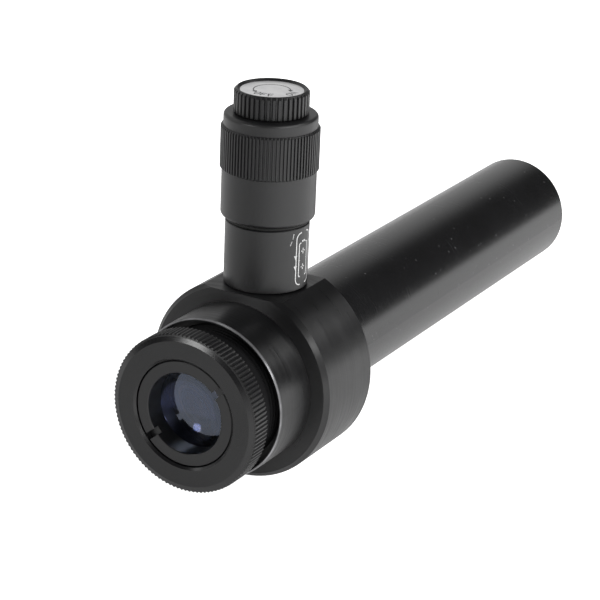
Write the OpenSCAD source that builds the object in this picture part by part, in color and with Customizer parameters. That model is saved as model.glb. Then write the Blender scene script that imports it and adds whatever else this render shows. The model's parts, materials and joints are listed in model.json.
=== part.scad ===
// Alignment telescope with an illuminated reticle: main tube, collar, focusing eyepiece and a
// battery illuminator that stands on the collar.
// The optical axis is Y, and the eyepiece is at the -Y end. The origin is on that axis, where
// the tube leaves the collar. The illuminator's axis is parallel to Z.
// All lengths are in millimetres. Lathe profiles are lists of [radius, place along the axis].

/* [Main tube] */
// Outside diameter of the tube, a one inch standard
tube_d = 25.4; // [25:0.1:26]
// Length of tube that stands out of the collar
tube_len = 114.8; // [100:0.1:160]
// Bore of the tube
tube_bore_d = 21.2; // [19:0.1:21.6]
// Depth that the tube's spigot goes into the collar
spigot_len = 14; // [13.5:0.1:14.5]

/* [Collar and hub] */
// Diameter of the collar
collar_d = 41.8; // [40:0.1:46]
// Length of the collar along the tube
collar_len = 18; // [17.5:0.1:20]
// Chamfer on the collar's front edge
collar_chamfer = 0.93; // [0.3:0.01:1.5]
// Height of the milled flat above the optical axis
flat_z = 18.76; // [18:0.01:19.5]
// Diameter of the hub in front of the collar
hub_d = 33.7; // [33.4:0.1:36]
// Length of the hub in front of the collar
hub_len = 11.13; // [10.5:0.01:12]

/* [Eyepiece] */
// Diameter over the knurling of the focusing ring
grip_d = 33.04; // [32:0.01:33.4]
// Gap between the hub and the focusing ring at mid focus
grip_gap = 4.64; // [3:0.01:6]
// Length of the knurled band
grip_len = 4.23; // [3:0.01:5]
// Number of teeth in the knurling
grip_teeth = 113; // [100:1:150]
// Diameter of the flat front face
face_d = 30.24; // [29:0.01:31]
// Diameter of the eye opening in the front retainer
eye_hole_d = 16.9; // [15:0.1:18]
// Axial travel for one turn of the focusing ring
focus_pitch = 1.0; // [0.75:0.05:1.25]

/* [Illuminator] */
// Distance of the illuminator's axis in front of the collar's rear shoulder
lamp_back = 8.34; // [8:0.01:9]
// Diameter of the lower barrel
barrel_d = 17.06; // [17:0.01:18]
// Height of the lower barrel's top above the optical axis
barrel_top = 33.08; // [32:0.01:35]
// Diameter of the smooth part of the battery cap
cap_d = 19.08; // [18.8:0.01:19.4]
// Diameter over the ribs of the battery cap
cap_rib_d = 19.86; // [19.5:0.01:20.4]
// Number of ribs round the battery cap
cap_ribs = 81; // [60:1:100]
// Height of the battery cap
cap_h = 21.3; // [21:0.01:23]
// Diameter over the flutes of the brightness knob
knob_d = 15.06; // [14:0.01:16]
// Number of flutes round the brightness knob
knob_flutes = 42; // [30:1:50]
// Height of the brightness knob
knob_h = 4.81; // [4.2:0.01:5.5]
// Diameter of one button cell
cell_d = 11.6; // [11.4:0.1:11.6]
// Height of one button cell
cell_h = 5.4; // [5.2:0.1:5.4]

/* [Hidden] */
$fn = 180;
fit = 0.05;            // radial clearance between a part and its seat
seat = 0.02;           // axial clearance between parts that rest on each other

black = [0.06, 0.06, 0.065];
soft_black = [0.13, 0.13, 0.14];
steel = [0.75, 0.75, 0.77];
brass = [0.78, 0.62, 0.3];
white = [0.92, 0.92, 0.9];
clear = [0.75, 0.8, 0.95, 0.4];
board = [0.1, 0.32, 0.16];
seal = [0.03, 0.03, 0.03];

// Main tube
tube_r = tube_d / 2;
tube_end_chamfer = 0.3;
spigot_r = tube_r - 0.5;
cell_bore_r = 11.2;             // counterbores that hold the reticle cell and the objective
cell_bore_depth = 16;
objective_depth = 10;
objective_shoulder = tube_len - objective_depth;
light_hole_r = 1.5;

// Collar and hub
collar_r = collar_d / 2;
hub_r = hub_d / 2;
hub_front = -collar_len - hub_len;
hub_chamfer = 0.3;
mouth_r = hub_r - 0.5;          // recess that the focusing ring's shoulder can enter
mouth_floor = hub_front + 4;
focus_bore_r = 14.5;
seat_mouth_r = tube_r + 0.1;     // chamfered mouth of the bore that holds the spigot
stop_front = -spigot_len - 2;   // inner web between the tube seat and the focusing thread
stop_r = 11.5;
nose_hole_r = 5;
nose_hole_floor = 13.85;

// Eyepiece
grip_r = grip_d / 2;
grip_rear = hub_front - grip_gap;
grip_front = grip_rear - grip_len;
face_r = face_d / 2;
face_bevel = 0.61;             // length of the bevel between the grip and the face
face_y = grip_front - face_bevel;
face_lip = 0.45;                // bevel of the bore that holds the retainer
tooth_depth = 0.3;
shoulder_r = 14.9;
shoulder_rear = grip_rear + 3.6;
thread_r = focus_bore_r - 0.08;
thread_depth = 0.45;
neck_rear = stop_front - 2.6;
ring_groove_y = neck_rear - 1.9;
ring_groove_w = 1.5;
ring_groove_r = 13.25;
ring_cord_r = 0.575;
retainer_bore_r = 11.15;
retainer_r = 10.95;
retainer_front = face_y + face_lip + 0.1;
retainer_rear = face_y + 5;
lens_bore_r = 10.5;
lens_r = lens_bore_r - fit;
rear_lip_r = 9.2;
rear_lip_y = neck_rear - 3.5;
eye_hole_r = eye_hole_d / 2;
spanner_slot_w = 1.45;
spanner_slot_depth = 1.4;
spanner_angle = 40;
eye_front_curve = 60;
eye_rear_curve = 22;
field_curve = 24;
spacer_bore_r = 9.6;
eye_vertex = retainer_rear + 0.03 - sag(eye_front_curve, eye_hole_r);
eye_edge_rear = eye_vertex + sag(eye_front_curve, lens_r) + 1.3;
eye_rear_vertex = eye_edge_rear + sag(eye_rear_curve, lens_r);
spacer_front = eye_rear_vertex - sag(eye_rear_curve, spacer_bore_r) + 0.07;
field_rear = rear_lip_y - seat;
field_vertex = field_rear - 1.6 - sag(field_curve, lens_r);
spacer_rear = field_vertex + sag(field_curve, spacer_bore_r) - 0.05;

// Reticle
reticle_cell_r = cell_bore_r - fit;
reticle_seat_r = 9.2;
reticle_clear_r = 7.5;
reticle_t = 2;
reticle_rear = -lamp_back + reticle_t / 2;
reticle_front = reticle_rear - reticle_t;

// Objective
objective_r = cell_bore_r - fit;
cement_curve = 55;
crown_curve = 75;
flint_edge = 4.4;
flint_front = objective_shoulder + seat;
cement_edge = flint_front + flint_edge;
cement_centre = cement_edge + cement_curve - sag(cement_curve, objective_r - 0.4);
crown_edge = cement_edge + 1.6;
crown_vertex = crown_edge + sag(crown_curve, objective_r);
objective_clear_r = 9.6;
objective_ring_y = crown_vertex - sag(crown_curve, objective_clear_r) + 0.05;
objective_ring_front = tube_len - 0.8;
objective_slot_w = 1.2;
objective_slot_depth = 1.2;
baffle_r = 6.5;
baffle_w = 3;
baffle_places = [38, 76];

// Illuminator, with heights above the optical axis
lamp_y = -lamp_back;
barrel_r = barrel_d / 2;
barrel_foot = flat_z + 0.22;
foot_r = 7.6;
nose_r = nose_hole_r - fit;
nose_tip = nose_hole_floor + fit;
seal_gap = 0.9;
sleeve_thread_r = 7.6;
sleeve_top = barrel_top + 7.85;
cell_bay_r = 6.5;
cell_bay_floor = 21.1;
led_r = 1.5;
led_tip = 14.9;
led_flange_r = 1.9;
led_flange_z = 19.05;
led_flange_top = led_flange_z + 1;
lead_r = 0.25;
lead_spread = 0.6;
board_t = 1.4;
cells_bottom = cell_bay_floor + board_t + 0.3;
cells_top = cells_bottom + 2 * cell_h + seat;
cap_r = cap_d / 2;
cap_rib_r = cap_rib_d / 2;
cap_top = barrel_top + cap_h;
rib_bottom = barrel_top + 9.8;
rib_top = cap_top - 2.5;
rib_depth = 0.3;
crown_r = 9.45;                 // smooth band above the ribs
cap_bore_r = sleeve_thread_r + 0.08;
pot_bay_r = 7;
pot_bay_top = cap_top - 4.2;
nut_recess_r = 5.4;
nut_recess_z = cap_top - 1.6;
bushing_r = 3;
pot_r = 6.5;
pot_bottom = pot_bay_top - 7;
spring_top = pot_bottom - board_t - fit;
shaft_r = 2;
shaft_flat = 1.5;               // distance of the shaft's flat from its axis
knob_r = knob_d / 2;
knob_bottom = cap_top + 0.16;
knob_top = knob_bottom + knob_h;
flute_depth = 0.42;
label_r = 6.34;
label_t = 0.2;
label_top = knob_top - 0.45;
shaft_top = knob_top - 1.2;
set_screw_z = knob_bottom + 1.7;
set_screw_r = 1;

// ---- shared shapes ----

// Depth of a spherical surface at radius r
function sag(curve, r) = curve - sqrt(curve * curve - r * r);

// Point on the line from p through q, at k times their distance
function beyond(p, q, k) = p + k * (q - p);

// Points on an arc about [cx, cy]
function arc(cx, cy, r, from, to, steps = 6) =
    [for (i = [0:steps]) let (a = from + (to - from) * i / steps)
        [cx + r * cos(a), cy + r * sin(a)]];

// Outline of a straight knurl: flat-bottomed grooves between ribs
function knurl(r, depth, count, groove, flank) =
    [for (i = [0:count - 1], k = [0:3])
        let (share = [-groove / 2, groove / 2, groove / 2 + flank, 1 - groove / 2 - flank][k],
             a = 360 * (i + share) / count,
             rr = k < 2 ? r - depth : r)
        [rr * cos(a), rr * sin(a)]];

// A lathe profile turned about the optical axis
module turned(profile) {
    rotate([-90, 0, 0]) rotate_extrude() polygon(profile);
}

// A lathe profile turned about the illuminator's axis
module turned_up(profile) {
    translate([0, lamp_y, 0]) rotate_extrude() polygon(profile);
}

// A flat ring about the optical axis
module ring_y(outer, inner, y0, y1) {
    turned([[inner, y0], [outer, y0], [outer, y1], [inner, y1]]);
}

// A flat ring about the illuminator's axis
module ring_z(outer, inner, z0, z1) {
    turned_up([[inner, z0], [outer, z0], [outer, z1], [inner, z1]]);
}

// A solid disc about the illuminator's axis
module disc_z(r, z0, z1) {
    translate([0, lamp_y, z0]) cylinder(r = r, h = z1 - z0);
}

// A bore or rod along the optical axis
module rod_y(r, y0, y1) {
    translate([0, y0, 0]) rotate([-90, 0, 0]) cylinder(r = r, h = y1 - y0);
}

// ---- collar, tube and objective ----

module housing() {
    color(black) difference() {
        turned([
            [mouth_r, hub_front], [hub_r - hub_chamfer, hub_front],
            [hub_r, hub_front + hub_chamfer], [hub_r, -collar_len],
            [collar_r - collar_chamfer, -collar_len],
            [collar_r, -collar_len + collar_chamfer], [collar_r, -0.1], [collar_r - 0.1, 0],
            [seat_mouth_r, 0], [spigot_r + fit, spigot_r + fit - seat_mouth_r],
            [spigot_r + fit, -spigot_len - seat], [stop_r, -spigot_len - seat],
            [stop_r, stop_front],
            [focus_bore_r, stop_front], [focus_bore_r, mouth_floor], [mouth_r, mouth_floor]]);
        translate([-collar_r, -collar_len - 1, flat_z])
            cube([collar_d, collar_len + 2, collar_r]);
        disc_z(nose_hole_r, nose_hole_floor, collar_r);
        disc_z(light_hole_r, spigot_r - 2, collar_r);
    }
}

module main_tube() {
    color(black) difference() {
        turned([
            [cell_bore_r, -spigot_len], [spigot_r, -spigot_len], [spigot_r, seat],
            [tube_r, seat], [tube_r, tube_len - tube_end_chamfer],
            [tube_r - tube_end_chamfer, tube_len], [cell_bore_r, tube_len],
            [cell_bore_r, objective_shoulder], [tube_bore_d / 2, objective_shoulder],
            [tube_bore_d / 2, cell_bore_depth - spigot_len],
            [cell_bore_r, cell_bore_depth - spigot_len]]);
        disc_z(light_hole_r, cell_bore_r - 2, tube_r + 1);
    }
}

module objective_front_lens() {
    color(clear) intersection() {
        rod_y(objective_r, cement_edge - 4, crown_vertex + 1);
        translate([0, crown_vertex - crown_curve, 0]) sphere(r = crown_curve, $fn = 360);
        translate([0, cement_centre + 0.03, 0]) sphere(r = cement_curve, $fn = 360);
    }
}

module objective_rear_lens() {
    color(clear) difference() {
        rod_y(objective_r, flint_front, cement_edge);
        translate([0, cement_centre, 0]) sphere(r = cement_curve, $fn = 360);
    }
}

module objective_retainer() {
    color(black) difference() {
        turned([
            [objective_clear_r, objective_ring_y], [objective_r, objective_ring_y],
            [objective_r, objective_ring_front],
            [objective_clear_r + 0.6, objective_ring_front],
            [objective_clear_r, objective_ring_front - 0.6]]);
        translate([-objective_r - 1, objective_ring_front - objective_slot_depth,
                -objective_slot_w / 2])
            cube([2 * objective_r + 2, objective_slot_depth + 1, objective_slot_w]);
    }
}

// Two thin rings that stop light glancing along the bore
module tube_baffles() {
    outer_r = tube_bore_d / 2 - fit;
    color(black) for (y = baffle_places)
        turned([
            [baffle_r, y], [outer_r, y - baffle_w / 2], [outer_r, y + baffle_w / 2],
            [outer_r - 1, y + baffle_w / 2], [baffle_r, y + 0.3]]);
}

// ---- reticle ----

module reticle_cell() {
    color(brass) difference() {
        turned([
            [reticle_seat_r, -spigot_len + 0.2], [reticle_cell_r, -spigot_len + 0.2],
            [reticle_cell_r, cell_bore_depth - spigot_len - fit],
            [reticle_clear_r, cell_bore_depth - spigot_len - fit],
            [reticle_clear_r, reticle_rear + seat], [reticle_seat_r, reticle_rear + seat]]);
        disc_z(light_hole_r, 0, cell_bore_r + 1);
    }
}

module reticle_glass() {
    color(clear) rod_y(reticle_seat_r - fit, reticle_front, reticle_rear);
}

module reticle_retainer() {
    color(brass) ring_y(reticle_seat_r - fit, reticle_clear_r, reticle_front - 3,
        reticle_front - seat);
}

// ---- eyepiece ----

// Knurled head with its chamfered front edge
module grip_head() {
    face_edge = [face_r, face_y];
    rear_edge = [grip_r - 0.15, grip_rear];
    intersection() {
        translate([0, face_y - 1, 0]) rotate([-90, 0, 0])
            linear_extrude(height = grip_rear - face_y + 2)
                polygon(knurl(grip_r, tooth_depth, grip_teeth, 0.24, 0.27));
        turned([[0, face_y], face_edge, beyond(face_edge, [grip_r, grip_front], 2),
            rear_edge + [1, -1], rear_edge, [0, grip_rear]]);
    }
}

// Neck with the focusing thread drawn as rings, one for each turn
module grip_neck() {
    first = shoulder_rear + 0.5;
    turns = floor((ring_groove_y - ring_groove_w - first) / focus_pitch);
    crest = focus_pitch * 0.2;
    turned(concat(
        [[0, grip_rear - 1], [shoulder_r, grip_rear - 1], [shoulder_r, shoulder_rear - 0.12],
         [shoulder_r - 0.12, shoulder_rear], [thread_r - thread_depth, shoulder_rear]],
        [for (i = [0:turns - 1], k = [0:3])
            let (y = first + i * focus_pitch)
            [k == 1 || k == 2 ? thread_r : thread_r - thread_depth,
             y + [0, focus_pitch * 0.4 - crest / 2, focus_pitch * 0.4 + crest / 2,
                  focus_pitch * 0.8][k]]],
        [[thread_r - thread_depth, ring_groove_y - ring_groove_w],
         [thread_r, ring_groove_y - ring_groove_w],
         [thread_r, ring_groove_y - ring_groove_w / 2],
         [ring_groove_r, ring_groove_y - ring_groove_w / 2],
         [ring_groove_r, ring_groove_y + ring_groove_w / 2],
         [thread_r, ring_groove_y + ring_groove_w / 2],
         [thread_r, neck_rear - 0.3], [thread_r - 0.3, neck_rear], [0, neck_rear]]));
}

module focus_ring() {
    mouth_r = retainer_bore_r + face_lip;
    color(black) difference() {
        union() {
            grip_head();
            grip_neck();
        }
        turned([
            [0, face_y - 1], [mouth_r + 1, face_y - 1], [mouth_r, face_y],
            [retainer_bore_r, face_y + face_lip], [0, face_y + face_lip]]);
        rod_y(rear_lip_r, face_y - 1, neck_rear + 1);
        rod_y(lens_bore_r, face_y - 1, rear_lip_y);
        rod_y(retainer_bore_r, face_y - 1, retainer_rear + fit);
    }
}

module focus_oring() {
    color(seal) rotate([-90, 0, 0]) translate([0, 0, ring_groove_y]) rotate_extrude()
        translate([ring_groove_r + fit + ring_cord_r, 0]) circle(r = ring_cord_r, $fn = 36);
}

module eye_retainer() {
    color(soft_black) difference() {
        turned([
            [eye_hole_r, retainer_front + 0.12], [eye_hole_r + 0.12, retainer_front],
            [retainer_r - 0.15, retainer_front], [retainer_r, retainer_front + 0.15],
            [retainer_r, retainer_front + 0.8], [retainer_bore_r - fit, retainer_front + 1],
            [retainer_bore_r - fit, retainer_rear], [eye_hole_r, retainer_rear]]);
        rotate([0, -spanner_angle, 0])
            translate([-retainer_bore_r - 1, retainer_front - 1, -spanner_slot_w / 2])
                cube([2 * retainer_bore_r + 2, spanner_slot_depth + 1, spanner_slot_w]);
    }
}

module eye_lens() {
    color(clear) intersection() {
        rod_y(lens_r, eye_vertex - 1, eye_rear_vertex + 1);
        translate([0, eye_vertex + eye_front_curve, 0])
            sphere(r = eye_front_curve, $fn = 360);
        translate([0, eye_rear_vertex - eye_rear_curve, 0])
            sphere(r = eye_rear_curve, $fn = 360);
    }
}

module lens_spacer() {
    color(black) ring_y(lens_r, spacer_bore_r, spacer_front, spacer_rear);
}

module field_lens() {
    color(clear) intersection() {
        rod_y(lens_r, field_vertex - 1, field_rear);
        translate([0, field_vertex + field_curve, 0]) sphere(r = field_curve, $fn = 360);
    }
}

// ---- illuminator: barrel, lamp and cells ----

module lower_barrel() {
    edge = 0.15;
    led_bay_r = led_flange_r + 0.3;
    color(soft_black) turned_up([
        [led_r + fit, nose_tip], [nose_r - 0.4, nose_tip], [nose_r, nose_tip + 0.4],
        [nose_r, flat_z + seat], [foot_r, flat_z + seat], [foot_r, barrel_foot],
        [barrel_r - edge, barrel_foot], [barrel_r, barrel_foot + edge],
        [barrel_r, barrel_top - seal_gap - edge], [barrel_r - edge, barrel_top - seal_gap],
        [sleeve_thread_r, barrel_top - seal_gap], [sleeve_thread_r, sleeve_top - 0.3],
        [sleeve_thread_r - 0.3, sleeve_top], [cell_bay_r, sleeve_top],
        [cell_bay_r, cell_bay_floor], [led_bay_r, cell_bay_floor],
        [led_bay_r, led_flange_z - seat], [led_r + fit, led_flange_z - seat]]);
}

module led() {
    color([0.9, 0.25, 0.2, 0.8]) {
        disc_z(led_r, led_tip + led_r, led_flange_z + 0.5);
        disc_z(led_flange_r, led_flange_z, led_flange_top);
        translate([0, lamp_y, led_tip + led_r]) sphere(r = led_r, $fn = 64);
    }
}

module led_leads() {
    color(steel) for (side = [-1, 1])
        translate([side * lead_spread, lamp_y, led_flange_top + seat])
            cylinder(r = lead_r, h = cell_bay_floor - led_flange_top, $fn = 24);
}

module led_board() {
    color(board) disc_z(cell_bay_r - fit, cell_bay_floor + 2 * seat, cell_bay_floor + board_t);
}

module battery_sleeve() {
    color(white) ring_z(cell_bay_r - fit, cell_d / 2 + fit, cell_bay_floor + board_t + seat,
        sleeve_top - 0.6);
}

module batteries() {
    color(steel) for (i = [0, 1])
        translate([0, 0, cells_bottom + i * (cell_h + seat)])
            turned_up([
                [0, 0], [cell_d / 2 - 1.5, 0], [cell_d / 2 - 1.2, 0.3], [cell_d / 2 - 0.3, 0.3],
                [cell_d / 2, 0.6], [cell_d / 2, cell_h - 0.4], [cell_d / 2 - 0.4, cell_h],
                [0, cell_h]]);
}

// ---- illuminator: battery cap ----

module cap_seal() {
    cord_r = seal_gap / 2 - seat;
    color(seal) translate([0, lamp_y, barrel_top - seal_gap / 2]) rotate_extrude()
        translate([sleeve_thread_r + 0.03 + cord_r, 0]) circle(r = cord_r, $fn = 36);
}

// Ribbed band of the cap, with the ends of its ribs rounded off
module cap_rib_band() {
    bevel = 0.35;
    intersection() {
        translate([0, lamp_y, rib_bottom - 1]) linear_extrude(height = rib_top - rib_bottom + 2)
            polygon(knurl(cap_rib_r, rib_depth, cap_ribs, 0.34, 0.12));
        turned_up([
            [0, rib_bottom], [cap_rib_r - bevel, rib_bottom],
            [cap_rib_r + bevel, rib_bottom + 2 * bevel], [cap_rib_r + bevel, rib_top - 2 * bevel],
            [cap_rib_r - bevel, rib_top], [0, rib_top]]);
    }
}

module battery_cap() {
    skirt_round = 0.8;
    crown_round = 0.7;
    color(soft_black) difference() {
        union() {
            turned_up(concat(
                [[0, barrel_top]],
                arc(cap_r - skirt_round, barrel_top + skirt_round, skirt_round, -90, 0),
                [[cap_r, rib_bottom + 1], [crown_r, rib_bottom + 1]],
                arc(crown_r - crown_round, cap_top - crown_round, crown_round, 0, 90),
                [[0, cap_top]]));
            cap_rib_band();
        }
        disc_z(cap_bore_r, barrel_top - 1, sleeve_top + 0.4);
        disc_z(pot_bay_r, barrel_top - 1, pot_bay_top);
        disc_z(bushing_r + fit, barrel_top, cap_top + 1);
        disc_z(nut_recess_r, nut_recess_z, cap_top + 1);
    }
}

// Point on the contact spring's centre line, t from 0 at the cell to 1 at the board
function spring_point(t, wire_r, turns) =
    let (a = 360 * turns * t, r = 2.6 + 1.6 * t)
    [r * cos(a), lamp_y + r * sin(a),
     cells_top + fit + wire_r + t * (spring_top - cells_top - 2 * wire_r - 2 * fit)];

module contact_spring() {
    wire_r = 0.25;
    turns = 4;
    rings = 64;
    sides = 8;
    points = [for (i = [0:rings], s = [0:sides - 1])
        let (t = i / rings, p = spring_point(t, wire_r, turns), a = 360 * turns * t,
             b = 360 * s / sides)
        p + wire_r * [cos(a) * cos(b), sin(a) * cos(b), sin(b)]];
    walls = [for (i = [0:rings - 1], s = [0:sides - 1])
        let (n = (s + 1) % sides)
        [i * sides + s, (i + 1) * sides + s, (i + 1) * sides + n, i * sides + n]];
    caps = [[for (s = [0:sides - 1]) s], [for (s = [sides - 1:-1:0]) rings * sides + s]];
    color(steel) polyhedron(points = points, faces = concat(walls, caps));
}

module contact_board() {
    color(board) disc_z(pot_r - 0.2, spring_top, spring_top + board_t);
}

module pot_body() {
    color([0.2, 0.32, 0.55]) turned_up([
        [shaft_r + fit, pot_bottom + 1], [0, pot_bottom + 1], [0, pot_bottom],
        [pot_r, pot_bottom], [pot_r, pot_bay_top - seat], [bushing_r, pot_bay_top - seat],
        [bushing_r, cap_top - 0.1], [shaft_r + fit, cap_top - 0.1]]);
}

module pot_washer() {
    color(steel) ring_z(4.8, bushing_r + fit, nut_recess_z + seat, nut_recess_z + 0.3);
}

module pot_nut() {
    flats = 8;
    color(brass) difference() {
        translate([0, lamp_y, nut_recess_z + 0.32]) cylinder(d = flats / cos(30), h = 1.15, $fn = 6);
        disc_z(bushing_r + fit, nut_recess_z, cap_top);
    }
}

// ---- illuminator: knob ----

module pot_shaft() {
    color(steel) difference() {
        disc_z(shaft_r, pot_bottom + 1.05, shaft_top);
        translate([-shaft_r, lamp_y + shaft_flat, knob_bottom])
            cube([2 * shaft_r, shaft_r, knob_h]);
    }
}

module knob() {
    rim_r = 6.85;
    rim_edge = [rim_r + 0.15, knob_top];
    foot_edge = [knob_r - 0.2, knob_bottom];
    color(soft_black) difference() {
        intersection() {
            translate([0, lamp_y, knob_bottom - 1]) linear_extrude(height = knob_h + 2)
                polygon(knurl(knob_r, flute_depth, knob_flutes, 0.26, 0.14));
            turned_up([
                [0, knob_bottom], foot_edge, foot_edge + [1, 1],
                beyond(rim_edge, [knob_r, knob_top - 0.55], 2), rim_edge, [rim_r, knob_top],
                [label_r + fit, label_top], [label_r + fit, label_top - label_t - seat],
                [0, label_top - label_t - seat]]);
        }
        disc_z(shaft_r + 0.03, knob_bottom - 1, shaft_top + fit);
        translate([0, lamp_y, set_screw_z]) rotate([-90, 0, 0])
            cylinder(r = set_screw_r, h = knob_r + 1);
    }
}

module knob_label() {
    color(white) disc_z(label_r, label_top - label_t, label_top);
}

module knob_set_screw() {
    screw_end = lamp_y + knob_r - 1.2;
    socket_d = 1;
    socket_depth = 1;
    color(steel) translate([0, 0, set_screw_z]) difference() {
        rod_y(set_screw_r - fit, lamp_y + shaft_flat + fit, screw_end);
        translate([0, screw_end - socket_depth, 0]) rotate([-90, 0, 0])
            cylinder(d = socket_d, h = socket_depth + 1, $fn = 6);
    }
}

housing();
main_tube();
objective_front_lens();
objective_rear_lens();
objective_retainer();
tube_baffles();
reticle_cell();
reticle_glass();
reticle_retainer();
focus_ring();
focus_oring();
eye_retainer();
eye_lens();
lens_spacer();
field_lens();
lower_barrel();
led();
led_leads();
led_board();
battery_sleeve();
batteries();
cap_seal();
battery_cap();
contact_spring();
contact_board();
pot_body();
pot_washer();
pot_nut();
pot_shaft();
knob();
knob_label();
knob_set_screw();
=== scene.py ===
# Looks for the alignment telescope: studio, camera, procedural materials, and the printed marks
# that are too thin for the solid model.
# All lengths are in metres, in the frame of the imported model: Y is the optical axis, with the
# eyepiece at the -Y end, and Z runs up the illuminator.
import json
import math

import bmesh
import bpy
from mathutils import Matrix, Vector

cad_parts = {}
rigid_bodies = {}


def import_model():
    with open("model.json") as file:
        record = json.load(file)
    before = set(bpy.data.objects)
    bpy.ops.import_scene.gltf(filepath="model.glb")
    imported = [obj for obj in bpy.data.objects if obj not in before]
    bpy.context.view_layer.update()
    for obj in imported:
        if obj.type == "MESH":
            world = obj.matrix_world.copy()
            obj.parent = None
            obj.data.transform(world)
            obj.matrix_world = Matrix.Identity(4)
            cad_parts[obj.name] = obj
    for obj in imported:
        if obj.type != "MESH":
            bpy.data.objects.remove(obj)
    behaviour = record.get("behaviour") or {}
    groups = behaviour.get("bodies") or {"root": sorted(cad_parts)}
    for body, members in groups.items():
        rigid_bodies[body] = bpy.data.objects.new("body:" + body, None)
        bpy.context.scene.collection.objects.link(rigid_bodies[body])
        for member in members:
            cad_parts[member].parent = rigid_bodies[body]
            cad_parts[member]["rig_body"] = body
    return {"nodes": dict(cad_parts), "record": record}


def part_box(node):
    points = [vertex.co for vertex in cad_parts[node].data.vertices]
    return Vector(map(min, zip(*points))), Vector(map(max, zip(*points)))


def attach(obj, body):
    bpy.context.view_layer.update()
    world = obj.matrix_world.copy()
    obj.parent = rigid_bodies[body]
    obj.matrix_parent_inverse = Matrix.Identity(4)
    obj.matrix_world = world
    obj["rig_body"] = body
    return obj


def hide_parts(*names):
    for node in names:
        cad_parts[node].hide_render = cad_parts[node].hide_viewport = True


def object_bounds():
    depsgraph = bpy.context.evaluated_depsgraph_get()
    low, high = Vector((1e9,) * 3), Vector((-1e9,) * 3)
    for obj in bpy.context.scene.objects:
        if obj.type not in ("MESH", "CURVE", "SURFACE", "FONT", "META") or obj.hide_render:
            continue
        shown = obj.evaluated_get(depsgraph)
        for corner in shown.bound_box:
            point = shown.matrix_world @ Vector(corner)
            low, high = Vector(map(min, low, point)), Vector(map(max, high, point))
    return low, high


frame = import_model()
cad_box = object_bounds()
scene = bpy.context.scene
nodes = frame["nodes"]

MM = 0.001
EYE_FRONT_CURVE = 60 * MM                      # the lenses' radii of curvature, as in the solids
EYE_REAR_CURVE = 22 * MM
FIELD_CURVE = 24 * MM
CEMENT_CURVE = 55 * MM
CROWN_CURVE = 75 * MM
HOLLOW_RIM = 0.4 * MM


def centre_of(node):
    low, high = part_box(node)
    return (low + high) / 2


LAMP_AXIS = centre_of("lower_barrel")          # its x and y place the illuminator's axis
BARREL_R = (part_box("lower_barrel")[1].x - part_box("lower_barrel")[0].x) / 2
HEAD_LEN = 4.84 * MM                           # the eyepiece's face bevel and knurl
GRIP_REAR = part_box("focus_ring")[0].y + HEAD_LEN
KNURL_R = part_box("focus_ring")[1].x - 0.45 * MM    # just inside the grooves of its knurl
HUB_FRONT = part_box("housing")[0].y
HUB_R = 16.85 * MM
BORE_R = 11.3 * MM                             # everything inside this is matte in the tube
LABEL_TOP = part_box("knob_label")[1].z
LABEL_R = (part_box("knob_label")[1].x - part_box("knob_label")[0].x) / 2

# ---- camera ----

AZIMUTH = math.radians(29.2025)                # round Z, from the eyepiece side towards +X
ELEVATION = math.radians(21.217)
ROLL = math.radians(2.3754)
DISTANCE = 0.4963
LENS_LENGTH = 138.017                          # in millimetres, as Blender takes it
SENSOR_WIDTH = 36
AIM = Vector((-0.00649, 0.01804, 0.00465))


def add_camera():
    back = Vector((math.sin(AZIMUTH) * math.cos(ELEVATION),
                   -math.cos(AZIMUTH) * math.cos(ELEVATION), math.sin(ELEVATION)))
    right = Vector((math.cos(AZIMUTH), math.sin(AZIMUTH), 0))
    up = back.cross(right)
    turned_right = right * math.cos(ROLL) + up * math.sin(ROLL)
    turned_up = up * math.cos(ROLL) - right * math.sin(ROLL)
    camera = bpy.data.objects.new("camera", bpy.data.cameras.new("camera"))
    scene.collection.objects.link(camera)
    camera.data.sensor_width = SENSOR_WIDTH
    camera.data.lens = LENS_LENGTH
    camera.data.clip_start, camera.data.clip_end = 0.01, 20
    camera.matrix_world = Matrix.Translation(AIM + back * DISTANCE) @ Matrix(
        (turned_right, turned_up, back)).transposed().to_4x4()
    scene.camera = camera


# ---- node building ----

class Graph:
    """Short calls for building one node tree. Inputs are numbers, colours or other sockets."""

    def __init__(self, tree):
        self.tree = tree

    def add(self, kind, inputs=None, **settings):
        made = self.tree.nodes.new("ShaderNode" + kind)
        for key, value in settings.items():
            setattr(made, key, value)
        for key, value in (inputs or {}).items():
            self.set(made.inputs[key], value)
        return made

    def set(self, socket, value):
        if isinstance(value, bpy.types.NodeSocket):
            self.tree.links.new(value, socket)
        else:
            socket.default_value = value

    def math(self, operation, a, b=0.0):
        return self.add("Math", {0: a, 1: b}, operation=operation).outputs[0]

    def vector(self, operation, a, b):
        made = self.add("VectorMath", {0: a, 1: b}, operation=operation)
        return made.outputs["Value" if operation == "DOT_PRODUCT" else "Vector"]

    def map(self, value, low, high, to_low=0.0, to_high=1.0, smooth=False):
        return self.add("MapRange", {0: value, 1: low, 2: high, 3: to_low, 4: to_high},
                        interpolation_type="SMOOTHSTEP" if smooth else "LINEAR").outputs[0]

    def mix(self, factor, a, b):
        made = self.add("Mix", data_type="RGBA")
        for socket, value in ((0, factor), (6, a), (7, b)):
            self.set(made.inputs[socket], value)
        return made.outputs[2]

    def noise(self, vector, scale, detail=2.0, roughness=0.5):
        return self.add("TexNoise", {"Vector": vector, "Scale": scale, "Detail": detail,
                                     "Roughness": roughness}).outputs[0]

    def combine(self, x, y, z):
        return self.add("CombineXYZ", {0: x, 1: y, 2: z}).outputs[0]


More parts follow.
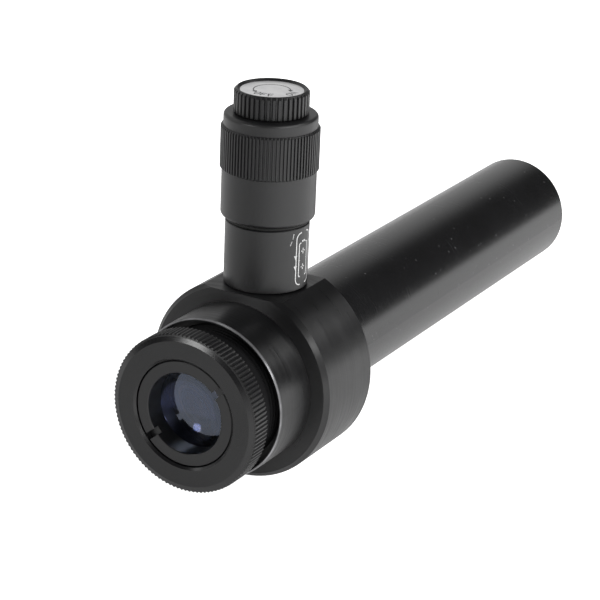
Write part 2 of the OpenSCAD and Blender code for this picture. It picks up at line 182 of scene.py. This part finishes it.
class Surface(Graph):
    """A material with a Principled shader, whose constant values are set on its own sockets."""

    def __init__(self, name, **sockets):
        self.material = bpy.data.materials.new(name)
        self.material.use_nodes = True
        super().__init__(self.material.node_tree)
        self.shader = self.tree.nodes["Principled BSDF"]
        for key, value in sockets.items():
            self.put(key.replace("_", " ").title().replace("Ior", "IOR"), value)

    def put(self, socket, value):
        if isinstance(value, tuple) and len(value) == 3:
            value = (*value, 1.0)
        self.set(self.shader.inputs[socket], value)

    def place(self):
        return self.add("TexCoord").outputs["Object"]

    def about(self, axis, centre=(0, 0, 0)):
        """Coordinates from the centre, distance from the axis, and place along it."""
        at = self.vector("SUBTRACT", self.place(), centre)
        xyz = self.add("SeparateXYZ", {0: at}).outputs
        along = {"Y": 1, "Z": 2}[axis]
        across = [i for i in range(3) if i != along]
        square = [self.math("MULTIPLY", xyz[i], xyz[i]) for i in across]
        radius = self.math("SQRT", self.math("ADD", square[0], square[1]))
        return xyz, radius, xyz[along]

    def turning_marks(self, axis, centre, pitch):
        """Noise that runs in rings round the axis, on walls and faces alike."""
        xyz, radius, along = self.about(axis, centre)
        step = self.math("MULTIPLY", self.math("ADD", along, radius), 1 / pitch)
        across = (0, 2) if axis == "Y" else (0, 1)
        slow = [self.math("MULTIPLY", xyz[i], 45.0) for i in across]
        return self.noise(self.combine(slow[0], step, slow[1]), 1.0, 3.0, 0.6)

    def bump(self, height, distance):
        return self.add("Bump", {"Height": height, "Distance": distance,
                                 "Strength": 1.0}).outputs[0]

    def finish(self, **linked):
        for key, value in linked.items():
            self.put(key.replace("_", " ").title(), value)
        return self.material


# ---- materials ----

def anodised(name, base, roughness, spread, pitch, depth, specular=0.5, anisotropy=0.0):
    """Black anodised metal turned about the optical axis, with turning marks, faint stains, and
    rougher and smoother bands."""
    s = Surface(name, specular_ior_level=specular, anisotropic=anisotropy)
    marks = s.turning_marks("Y", (0, 0, 0), pitch)
    stain = s.noise(s.place(), 90.0, 4.0, 0.6)
    shade = s.mix(s.map(stain, 0.35, 0.7), (*[0.8 * c for c in base], 1),
                  (*[1.25 * c for c in base], 1))
    rough = s.math("ADD", s.map(marks, 0.3, 0.7, roughness - spread, roughness + spread),
                   s.map(stain, 0.3, 0.7, -spread / 2, spread / 2))
    if anisotropy:
        s.put("Tangent", s.add("Tangent", direction_type="RADIAL", axis="Y").outputs[0])
        s.put("Anisotropic Rotation", 0.25)    # the marks run round, so reflections smear along
    return s, s.finish(base_color=shade, roughness=rough, normal=s.bump(marks, depth))


def housing_material():
    """Gloss black, with its turning marks and a painted highlight on the hub's front edge: a
    lighter, partly metallic ring, broken up in patches.
    """
    s, material = anodised("gloss_black_anodised", (0.005, 0.005, 0.0055), 0.37, 0.09, 0.3 * MM,
                           0.0022 * MM, anisotropy=0.78)
    radius, along = s.about("Y")[1:]
    # Painted highlight: a thin ring at the hub's front edge is made lighter and partly metallic, in
    # patches.
    near_front = s.map(along, HUB_FRONT + 0.12 * MM, HUB_FRONT + 0.4 * MM, 1.0, 0.0)
    outside = s.map(radius, HUB_R - 0.42 * MM, HUB_R - 0.25 * MM)
    patches = s.map(s.noise(s.place(), 260.0, 3.0), 0.3, 0.6, 0.4, 1.0)
    painted_edge_highlight = s.math("MULTIPLY", s.math("MULTIPLY", near_front, outside), patches)
    base = s.shader.inputs["Base Color"].links[0].from_socket
    s.put("Base Color", s.mix(painted_edge_highlight, base, (0.3, 0.3, 0.31, 1)))
    s.put("Metallic", s.math("MULTIPLY", painted_edge_highlight, 0.8))
    return material


def tube_material():
    """Satin tube with sparse dust specks and a matte bore."""
    s, material = anodised("satin_black_tube", (0.006, 0.006, 0.0065), 0.265, 0.008, 0.25 * MM,
                           0.00005 * MM)
    cells = s.add("TexVoronoi", {"Vector": s.place(), "Scale": 700.0, "Randomness": 1.0})
    spot = s.map(cells.outputs["Distance"], 0.05, 0.16, 1.0, 0.0)
    chosen = s.map(s.add("SeparateColor", {0: cells.outputs["Color"]}).outputs[0], 0.72, 0.9)
    speck = s.math("MULTIPLY", spot, chosen)
    base = s.shader.inputs["Base Color"].links[0].from_socket
    s.put("Base Color", s.mix(speck, base, (0.12, 0.12, 0.12, 1)))
    bore = s.map(s.about("Y")[1], BORE_R, BORE_R + 0.1 * MM, 1.0, 0.0)
    rough = s.shader.inputs["Roughness"].links[0].from_socket
    s.put("Roughness", s.math("ADD", rough, s.math("MULTIPLY", bore, 0.4)))
    s.put("Specular IOR Level", s.map(bore, 0.0, 1.0, 0.41, 0.15))
    return material


def eyepiece_material():
    """Satin head with a duller knurl, and a rougher neck behind its grip whose reflections are
    turned down: painted shade in the gap between grip and hub.
    """
    s, material = anodised("satin_black_eyepiece", (0.005, 0.005, 0.0055), 0.24, 0.02, 0.2 * MM,
                           0.0002 * MM, specular=0.46)
    along = s.add("SeparateXYZ", {0: s.place()}).outputs[1]
    neck = s.map(along, GRIP_REAR - 0.15 * MM, GRIP_REAR + 0.05 * MM)
    knurl = s.map(s.about("Y")[1], KNURL_R - 0.05 * MM, KNURL_R)
    dull = s.math("ADD", s.math("MULTIPLY", neck, 0.36), s.math("MULTIPLY", knurl, 0.2))
    rough = s.shader.inputs["Roughness"].links[0].from_socket
    s.put("Roughness", s.math("ADD", rough, dull))
    # Painted shade: the neck reflects far less, which darkens the gap between the grip and the hub.
    s.put("Specular IOR Level", s.map(neck, 0.0, 1.0, 0.46, 0.12))
    return material


def retainer_material():
    return anodised("matte_black_retainer", (0.006, 0.006, 0.0065), 0.3, 0.02, 0.2 * MM,
                    0.0002 * MM, specular=0.48)[1]


def blasted_material():
    """Bead-blasted black: tiny dimples, no direction."""
    s = Surface("blasted_black", specular_ior_level=0.5)
    dimples = s.noise(s.place(), 9000.0, 2.0, 0.5)
    broad = s.noise(s.place(), 150.0, 3.0, 0.6)
    shade = s.mix(s.map(broad, 0.35, 0.7), (0.0055, 0.0055, 0.006, 1), (0.0075, 0.0075, 0.008, 1))
    return s.finish(base_color=shade, roughness=s.map(broad, 0.3, 0.7, 0.4, 0.46),
                    normal=s.bump(dimples, 0.004 * MM))


def glass_material(name="coated_glass", clear=(0.95, 0.96, 0.98), **sockets):
    """Clear glass with a blue coating, very slightly uneven where it has been wiped."""
    s = Surface(name, transmission_weight=1.0, ior=1.52, specular_ior_level=1.0,
                specular_tint=(0.38, 0.6, 1.0), base_color=clear, **sockets)
    smear = s.noise(s.place(), 260.0, 3.0, 0.6)
    return s.finish(roughness=s.map(smear, 0.45, 0.8, 0.0, 0.012))


def metal_material(name, colour, dark, roughness, axis, centre):
    s = Surface(name, metallic=1.0, anisotropic=0.4)
    marks = s.turning_marks(axis, centre, 0.12 * MM)
    tint = s.mix(s.map(s.noise(s.place(), 320.0, 4.0), 0.35, 0.7), (*colour, 1), (*dark, 1))
    s.put("Tangent", s.add("Tangent", direction_type="RADIAL", axis=axis).outputs[0])
    return s.finish(base_color=tint, normal=s.bump(marks, 0.001 * MM),
                    roughness=s.map(marks, 0.3, 0.7, roughness - 0.06, roughness + 0.08))


def grained_material(name, colour, dark, roughness, scale, depth, **sockets):
    """Moulded, rubber or board surface: mottled colour and a fine grain."""
    s = Surface(name, **sockets)
    grain = s.noise(s.place(), scale, 3.0, 0.6)
    mottle = s.noise(s.place(), 240.0, 3.0, 0.6)
    shade = s.mix(s.map(mottle, 0.35, 0.7), (*colour, 1), (*dark, 1))
    return s.finish(base_color=shade, normal=s.bump(grain, depth),
                    roughness=s.map(grain, 0.3, 0.7, roughness - 0.05, roughness + 0.05))


def label_material():
    """Silver plate, brushed along one direction, with faint smudges."""
    s = Surface("silver_label", metallic=0.75)
    xyz = s.add("SeparateXYZ", {0: s.place()}).outputs
    stretched = s.combine(s.math("MULTIPLY", xyz[0], 300.0), s.math("MULTIPLY", xyz[1], 9000.0),
                          xyz[2])
    brush = s.noise(stretched, 1.0, 2.0)
    smudge = s.noise(s.place(), 500.0, 3.0)
    shade = s.mix(s.map(smudge, 0.35, 0.7), (0.8, 0.8, 0.8, 1), (0.7, 0.7, 0.71, 1))
    return s.finish(base_color=shade, normal=s.bump(brush, 0.0005 * MM),
                    roughness=s.map(brush, 0.3, 0.7, 0.3, 0.42))


def print_material(name, colour):
    """Printing ink, slightly thinner in places."""
    s = Surface(name, specular_ior_level=0.4)
    patches = s.noise(s.place(), 2500.0, 3.0, 0.6)
    thin = tuple(0.6 * c for c in colour)
    return s.finish(base_color=s.mix(s.map(patches, 0.5, 0.75), (*colour, 1), (*thin, 1)),
                    roughness=s.map(patches, 0.3, 0.7, 0.35, 0.5),
                    normal=s.bump(patches, 0.001 * MM))


def dress_nodes():
    """Every node of the frame takes the finish of its slot in the record."""
    lamp = tuple(LAMP_AXIS)
    finishes = {
        "anodised_black": housing_material(),
        "anodised_tube": tube_material(),
        "anodised_eyepiece": eyepiece_material(),
        "matte_black_metal": retainer_material(),
        "illuminator_black": blasted_material(),
        "coated_glass": glass_material(),
        "brass_parts": metal_material("turned_brass", (0.72, 0.52, 0.22), (0.6, 0.4, 0.16),
                                      0.25, "Y", (0, 0, 0)),
        "bright_steel": metal_material("bright_steel", (0.62, 0.62, 0.63), (0.5, 0.5, 0.51),
                                       0.22, "Z", lamp),
        "seal_rubber": grained_material("seal_rubber", (0.006, 0.006, 0.006),
                                        (0.01, 0.01, 0.01), 0.6, 4000.0, 0.004 * MM,
                                        specular_ior_level=0.25),
        "led_lens": grained_material("red_epoxy", (0.8, 0.1, 0.08), (0.7, 0.06, 0.05), 0.12,
                                     900.0, 0.0005 * MM, transmission_weight=0.7, ior=1.5),
        "circuit_board": grained_material("solder_mask", (0.03, 0.16, 0.06),
                                          (0.02, 0.12, 0.045), 0.4, 3000.0, 0.002 * MM),
        "insulator": grained_material("white_acetal", (0.78, 0.78, 0.75), (0.7, 0.7, 0.66),
                                      0.45, 3500.0, 0.003 * MM),
        "pot_case": grained_material("blue_moulding", (0.05, 0.11, 0.28), (0.04, 0.09, 0.22),
                                     0.42, 3500.0, 0.004 * MM),
        "label_silver": label_material(),
    }
    for part in frame["record"]["subparts"]:
        materials = nodes[part["node"]].data.materials
        materials.clear()
        materials.append(finishes[part["material_slot"]])


# ---- lenses ----

def lens_outline(radius, front, rear, front_curve, rear_curve, steps=48):
    """Half section of a lens, [radius, y], for its front face and then for its rear one.
    A curve is the radius of a face that bulges outwards, less than 0 where the face is hollow,
    with a narrow flat rim, or None where it is flat."""
    def sag(curve, r):
        return curve - math.sqrt(curve * curve - r * r)

    def fall(curve, r):
        if curve is None:
            return 0.0
        if curve > 0:
            return sag(curve, r)
        return sag(-curve, radius - HOLLOW_RIM) - sag(-curve, min(r, radius - HOLLOW_RIM))

    out = [radius * i / steps for i in range(steps + 1)]
    return ([(r, front + fall(front_curve, r)) for r in out],
            [(r, rear - fall(rear_curve, r)) for r in reversed(out)])


def add_lens(node, front_curve, rear_curve, material, sides=160):
    """Finely turned copy of a lens, because the solid's own facets show in its reflections."""
    low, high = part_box(node)
    faces = lens_outline((high.x - low.x) / 2, low.y, high.y, front_curve, rear_curve)
    mesh = bmesh.new()
    shells = []
    for outline in faces:
        shell = []
        for r, y in outline:
            around = 1 if r == 0 else sides
            shell.append([mesh.verts.new((r * math.cos(2 * math.pi * i / sides), y,
                                          r * math.sin(2 * math.pi * i / sides)))
                          for i in range(around)])
        shells.append(shell)
    rings = shells[0] + shells[1]
    for a, b in zip(rings, rings[1:]):
        for i in range(sides):
            j = (i + 1) % sides
            loop = [a[i % len(a)], a[j % len(a)], b[j % len(b)], b[i % len(b)]]
            face = mesh.faces.new(dict.fromkeys(loop))
            face.smooth = a is not shells[0][-1]
    for ring in (shells[0][-1], shells[1][0]):
        for i in range(sides):
            mesh.edges.get((ring[i], ring[(i + 1) % sides])).smooth = False
    made = add_piece(node + "_polished", mesh, material, nodes[node]["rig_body"])
    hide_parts(node)


# ---- printed marks ----

def arc_points(centre, radius, start, end, steps):
    """Points on an arc, with angles in degrees."""
    return [(centre[0] + radius * math.cos(math.radians(a)),
             centre[1] + radius * math.sin(math.radians(a)))
            for a in (start + (end - start) * i / steps for i in range(steps + 1))]


def capsule_points(centre, half_width, half_height, corner, steps=6):
    """Closed outline of an upright rounded rectangle."""
    points = []
    for sx, sy, start in ((1, 1, 0), (-1, 1, 90), (-1, -1, 180), (1, -1, 270)):
        corner_at = (centre[0] + sx * (half_width - corner),
                     centre[1] + sy * (half_height - corner))
        points += arc_points(corner_at, corner, start, start + 90, steps)
    return points


def ribbon(mesh, points, width, place, thickness, closed=False):
    """Adds a flat stroke along the points: a closed solid, laid on a surface by place(u, v, w)."""
    count = len(points)
    rings = []
    for i, (u, v) in enumerate(points):
        before = points[i - 1] if i or closed else points[i]
        after = points[(i + 1) % count] if i < count - 1 or closed else points[i]
        way_in = Vector((u - before[0], v - before[1]))
        way_out = Vector((after[0] - u, after[1] - v))
        way_in = (way_in if way_in.length else way_out).normalized()
        way_out = (way_out if way_out.length else way_in).normalized()
        along = (way_in + way_out).normalized()
        side = Vector((-along.y, along.x))
        half = width / 2 / max(0.5, side.dot(Vector((-way_in.y, way_in.x))))
        rings.append([mesh.verts.new(place(u + k * half * side.x, v + k * half * side.y, w))
                      for k, w in ((-1, 0), (1, 0), (1, thickness), (-1, thickness))])
    for i in range(count if closed else count - 1):
        a, b = rings[i], rings[(i + 1) % count]
        for k in range(4):
            mesh.faces.new((a[k], a[(k + 1) % 4], b[(k + 1) % 4], b[k]))
    if not closed:
        mesh.faces.new(rings[0][::-1])
        mesh.faces.new(rings[-1])


def patch(mesh, points, place, thickness):
    """Adds a filled convex shape as a closed solid."""
    low, high = ([mesh.verts.new(place(u, v, w)) for u, v in points] for w in (0, thickness))
    mesh.faces.new(low[::-1])
    mesh.faces.new(high)
    for i in range(len(points)):
        j = (i + 1) % len(points)
        mesh.faces.new((low[i], low[j], high[j], high[i]))


def add_piece(name, mesh, material, body):
    bmesh.ops.recalc_face_normals(mesh, faces=mesh.faces)
    data = bpy.data.meshes.new(name)
    mesh.to_mesh(data)
    mesh.free()
    made = bpy.data.objects.new(name, data)
    scene.collection.objects.link(made)
    data.materials.append(material)
    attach(made, body)
    return made


def on_barrel(u, v, w):
    """u runs round the barrel from +X, v up from the optical axis, w out of its wall."""
    angle = u / BARREL_R
    radius = BARREL_R + w - 0.004 * MM
    return (LAMP_AXIS.x + radius * math.cos(angle), LAMP_AXIS.y + radius * math.sin(angle), v)


def on_label(u, v, w):
    return LAMP_AXIS.x + u, LAMP_AXIS.y + v, LABEL_TOP + w - 0.004 * MM


def arrow_head(mesh, tip, direction, size, place, thickness):
    """A filled triangle that points along direction, in degrees."""
    corners = [(tip[0] + r * math.cos(math.radians(direction + a)),
                tip[1] + r * math.sin(math.radians(direction + a)))
               for r, a in ((0, 0), (size, 155), (size, 205))]
    patch(mesh, corners, place, thickness)


def plus_sign(mesh, centre, reach, line, place, thickness):
    """A cross made of one bar and two short arms, so that no two solids overlap."""
    u, v = centre
    ribbon(mesh, [(u - reach, v), (u + reach, v)], line, place, thickness)
    for way in (1, -1):
        ribbon(mesh, [(u, v + way * reach), (u, v + way * line / 2)], line, place, thickness)


def add_barrel_print():
    """Silver pictogram of two stacked cells in a rounded frame, with an arrow down its side."""
    ink = 0.016 * MM
    line = 0.23 * MM
    left, right, bottom, top = -2.25 * MM, 2.45 * MM, 20.1 * MM, 31.1 * MM
    middle = ((left + right) / 2, (bottom + top) / 2)
    cell_w, cell_bottom, cell_top = 1.42 * MM, 21.8 * MM, 28.9 * MM
    cell_middle = (cell_bottom + cell_top) / 2
    mesh = bmesh.new()
    ribbon(mesh, capsule_points(middle, (right - left) / 2, (top - bottom) / 2, 1.3 * MM), line,
           on_barrel, ink, True)
    ribbon(mesh, capsule_points((0, cell_middle), cell_w, (cell_top - cell_bottom) / 2,
                                0.4 * MM), line, on_barrel, ink, True)
    nub = 0.5 * MM
    patch(mesh, [(-nub, cell_top + line / 2), (nub, cell_top + line / 2), (nub, cell_top + nub),
                 (-nub, cell_top + nub)], on_barrel, ink)
    ribbon(mesh, [(line - cell_w, cell_middle - 0.1 * MM), (cell_w - line, cell_middle + 0.1 * MM)],
           line * 0.8, on_barrel, ink)
    for rise in (1.75, -1.6):
        plus_sign(mesh, (-0.1 * MM, cell_middle + rise * MM), 0.6 * MM, line, on_barrel, ink)
    for at in (24.2, 26.4):
        arrow_head(mesh, (left - 0.16 * MM, (at - 0.8) * MM), -90, 1.0 * MM, on_barrel, ink)
    arrow_head(mesh, (right + 0.16 * MM, 29.3 * MM), 90, 1.0 * MM, on_barrel, ink)
    for start, end in (((-3.1, 31.3), (-3.3, 30.2)), ((-3.5, 29.8), (-3.9, 28.9))):
        ribbon(mesh, [(start[0] * MM, start[1] * MM), (end[0] * MM, end[1] * MM)], line / 2,
               on_barrel, ink)
    return add_piece("battery_print", mesh, print_material("silver_ink", (0.62, 0.62, 0.62)),
                     "housing")


STROKES = {  # letters in a box from 0 to 1 both ways
    "O": [[(0.5, 0), (0.1, 0.2), (0, 0.5), (0.1, 0.8), (0.5, 1), (0.9, 0.8), (1, 0.5), (0.9, 0.2)]],
    "F": [[(0, 0), (0, 1), (1, 1)], [(0.14, 0.52), (0.8, 0.52)]],
    "N": [[(0, 0), (0, 1), (1, 0), (1, 1)]],
}


def curved_word(mesh, word, middle, radius, size, line, thickness):
    """Letters on the label that stand round its middle, with their feet to the rim."""
    width = 0.62 * size
    step = math.degrees((width + 0.5 * MM) / radius)
    for i, letter in enumerate(word):
        angle = math.radians(middle + (i - (len(word) - 1) / 2) * step)
        out = Vector((math.cos(angle), math.sin(angle)))
        across = Vector((-out.y, out.x))
        for stroke in STROKES[letter]:
            points = [out * (radius + (0.5 - v) * size) + across * (u - 0.5) * width
                      for u, v in stroke]
            ribbon(mesh, [tuple(point) for point in points], line, on_label, thickness,
                   letter == "O")


def add_label_print():
    """Dark arc with an arrow head at each end, and the words for the ends of its travel."""
    ink = 0.012 * MM
    line = 0.24 * MM
    radius = 0.58 * LABEL_R
    start, end = 34, 228
    mesh = bmesh.new()
    ribbon(mesh, arc_points((0, 0), radius, start, end, 36), line, on_label, ink)
    for angle, way in ((start, -90), (end, 90)):
        tip = arc_points((0, 0), radius, angle + way / 5, angle + way / 5, 1)[0]
        base = arc_points((0, 0), radius, angle - way / 60, angle - way / 60, 1)[0]
        heading = math.degrees(math.atan2(tip[1] - base[1], tip[0] - base[0]))
        arrow_head(mesh, tip, heading, 1.3 * MM, on_label, ink)
    curved_word(mesh, "OFF", -84, 0.62 * LABEL_R, 1.6 * MM, line * 1.1, ink)
    curved_word(mesh, "ON", -2, 0.72 * LABEL_R, 1.5 * MM, line * 1.1, ink)
    return add_piece("label_print", mesh, print_material("dark_ink", (0.05, 0.05, 0.055)),
                     "knob")


def add_reticle_lines():
    """Fine cross lines on the eyepiece side of the reticle glass."""
    low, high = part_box("reticle_glass")
    reach = 0.78 * (high.x - low.x) / 2
    line, ink, gap = 0.05 * MM, 0.004 * MM, 0.6 * MM

    def on_glass(u, v, w):
        return u, low.y - w + 0.001 * MM, v

    mesh = bmesh.new()
    for turn in range(4):
        c, s = round(math.cos(turn * math.pi / 2)), round(math.sin(turn * math.pi / 2))
        ribbon(mesh, [(c * gap, s * gap), (c * reach, s * reach)], line, on_glass, ink)
    ribbon(mesh, arc_points((0, 0), gap * 2, 0, 360 - 7.5, 47), line, on_glass, ink, True)
    return add_piece("reticle_lines", mesh, print_material("etched_line", (0.03, 0.03, 0.03)),
                     "housing")


# ---- studio ----

# The floor glows. In reflections its glow is painted light: a painted shadow, dimmest under the
# object, painted pools of light brighter to both sides, and painted shade that dims it towards the
# front. The camera sees it with FLOOR_HIGH_KEY on top, as plain white.
FLOOR_SHADOWED_GLOW = 0.25
FLOOR_LIGHT_POOLS = [(-0.004, 0.03, 0.6), (0.02, 0.18, 0.6), (-0.06, -0.15, 0.4)]  # x, x, radiance
FLOOR_FRONT = (-0.26, -0.08)                   # painted shade: dims from the second y to the first
FLOOR_FRONT_SHARE = 0.3
FLOOR_HIGH_KEY = 0.7
FLOOR_RADII = (0.05, 0.2, 0.6, 1.5, 3.5, 6.0)
FLOOR_SIDES = 96
ROOM_LIGHT = 0.07
ROOM_SEEN = 1.05                               # what the camera sees as the background
WALLS = [  # direction, full inside this angle, gone outside this one, radiance
    ((-0.85, 0.5, 0.2), 34, 62, 0.68),
    ((0.93, -0.3, 0.2), 20, 50, 0.8),
]


def add_floor():
    """Wide pale floor, a flat round sheet under the collar."""
    top = cad_box[0].z - 0.02 * MM
    mesh = bmesh.new()
    centre = mesh.verts.new((0, 0, top))
    loops = [[mesh.verts.new((r * math.cos(2 * math.pi * i / FLOOR_SIDES),
                              r * math.sin(2 * math.pi * i / FLOOR_SIDES), top))
              for i in range(FLOOR_SIDES)] for r in FLOOR_RADII]
    for i in range(FLOOR_SIDES):
        j = (i + 1) % FLOOR_SIDES
        mesh.faces.new((centre, loops[0][i], loops[0][j]))
        for inner, outer in zip(loops, loops[1:]):
            mesh.faces.new((inner[i], outer[i], outer[j], inner[j]))
    data = bpy.data.meshes.new("floor")
    mesh.to_mesh(data)
    mesh.free()
    floor = bpy.data.objects.new("floor", data)
    scene.collection.objects.link(floor)
    s = Surface("pale_floor", specular_ior_level=0.1, emission_color=(1.0, 1.0, 1.0))
    xyz = s.add("SeparateXYZ", {0: s.place()}).outputs
    # Painted light in the glow: a shadow under the object, pools of light to the sides and shade
    # towards the front.
    glow = FLOOR_SHADOWED_GLOW
    for low, high, rise in FLOOR_LIGHT_POOLS:
        glow = s.math("ADD", s.map(xyz[0], low, high, 0.0, rise, smooth=True), glow)
    front = s.map(xyz[1], *FLOOR_FRONT, FLOOR_FRONT_SHARE, 1.0, smooth=True)
    glow = s.math("MULTIPLY", front, glow)
    seen = s.add("LightPath").outputs["Is Camera Ray"]
    s.put("Emission Strength", s.math("ADD", glow, s.math("MULTIPLY", seen, FLOOR_HIGH_KEY)))
    paper = s.noise(s.place(), 400.0, 3.0)
    shade = s.mix(paper, (0.84, 0.84, 0.84, 1), (0.88, 0.88, 0.88, 1))
    data.materials.append(s.finish(base_color=shade, roughness=s.map(paper, 0.3, 0.7, 0.7, 0.8)))


def add_softbox(name, direction, half_angle, radiance, end=None, distance=1.2):
    """Area light that faces the object, sized by the half angle it fills, in degrees. It is
    round, or a long bank with its middle line from direction to end."""
    start = Vector(direction).normalized()
    way = start
    side = way.orthogonal()
    width = length = 2 * distance * math.tan(math.radians(half_angle))
    if end:
        stop = Vector(end).normalized()
        way = (start + stop).normalized()
        side = stop - start
        length = 2 * distance * math.tan(start.angle(stop) / 2)
    light = bpy.data.lights.new(name, "AREA")
    light.shape = "RECTANGLE" if end else "DISK"
    light.size, light.size_y = length, width
    light.energy = radiance * math.pi * length * width * (1 if end else math.pi / 4)
    lamp = bpy.data.objects.new(name, light)
    scene.collection.objects.link(lamp)
    side = (side - way * side.dot(way)).normalized()
    lamp.matrix_world = Matrix.Translation(way * distance) @ Matrix(
        (side, way.cross(side), way)).transposed().to_4x4()
    lamp.visible_camera = False


def add_world():
    """Dim room with a broad pale wall on either side. The camera sees plain white."""
    world = bpy.data.worlds.new("studio")
    scene.world = world
    world.use_nodes = True
    g = Graph(world.node_tree)
    way = g.add("TexCoord").outputs["Generated"]
    total = ROOM_LIGHT
    for direction, inner, outer, radiance in WALLS:
        facing = g.vector("DOT_PRODUCT", way, tuple(Vector(direction).normalized()))
        lobe = g.map(facing, math.cos(math.radians(outer)), math.cos(math.radians(inner)), 0.0,
                     radiance, smooth=True)
        total = g.math("ADD", total, lobe)
    seen = g.add("LightPath").outputs["Is Camera Ray"]
    strength = g.math("ADD", g.math("MULTIPLY", total, g.math("SUBTRACT", 1.0, seen)),
                      g.math("MULTIPLY", seen, ROOM_SEEN))
    background = world.node_tree.nodes["Background"]
    background.inputs["Color"].default_value = (1, 1, 1, 1)
    g.set(background.inputs["Strength"], strength)


add_camera()
dress_nodes()
add_barrel_print()
add_label_print()
add_reticle_lines()
# The eye lens's blue coat is its own. Its dark, faintly purple body colour is painted shade that
# dims the inside of the eyepiece seen through it.
add_lens("eye_lens", EYE_FRONT_CURVE, EYE_REAR_CURVE,
         glass_material("eye_glass", (0.3, 0.27, 0.32), coat_weight=1.0, coat_roughness=0.05,
                        coat_ior=1.6, coat_tint=(0.8, 0.86, 1.0)))
add_lens("field_lens", FIELD_CURVE, None, nodes["field_lens"].data.materials[0])
add_lens("objective_front_lens", CEMENT_CURVE, CROWN_CURVE,
         nodes["objective_front_lens"].data.materials[0])
add_lens("objective_rear_lens", None, -CEMENT_CURVE,
         nodes["objective_rear_lens"].data.materials[0])
add_floor()
add_softbox("front_left_box", (-0.35, -0.86, 0.37), 8, 14.0)
add_softbox("right_bank", (0.72, -0.6, 0.37), 6, 8.0, end=(0.64, 0.45, 0.58))
add_softbox("rear_box", (0.53, 0.45, 0.69), 3.5, 12.0)
add_softbox("left_box", (-0.77, -0.2, 0.6), 8, 2.5)
add_world()

scene.view_settings.view_transform = "Standard"
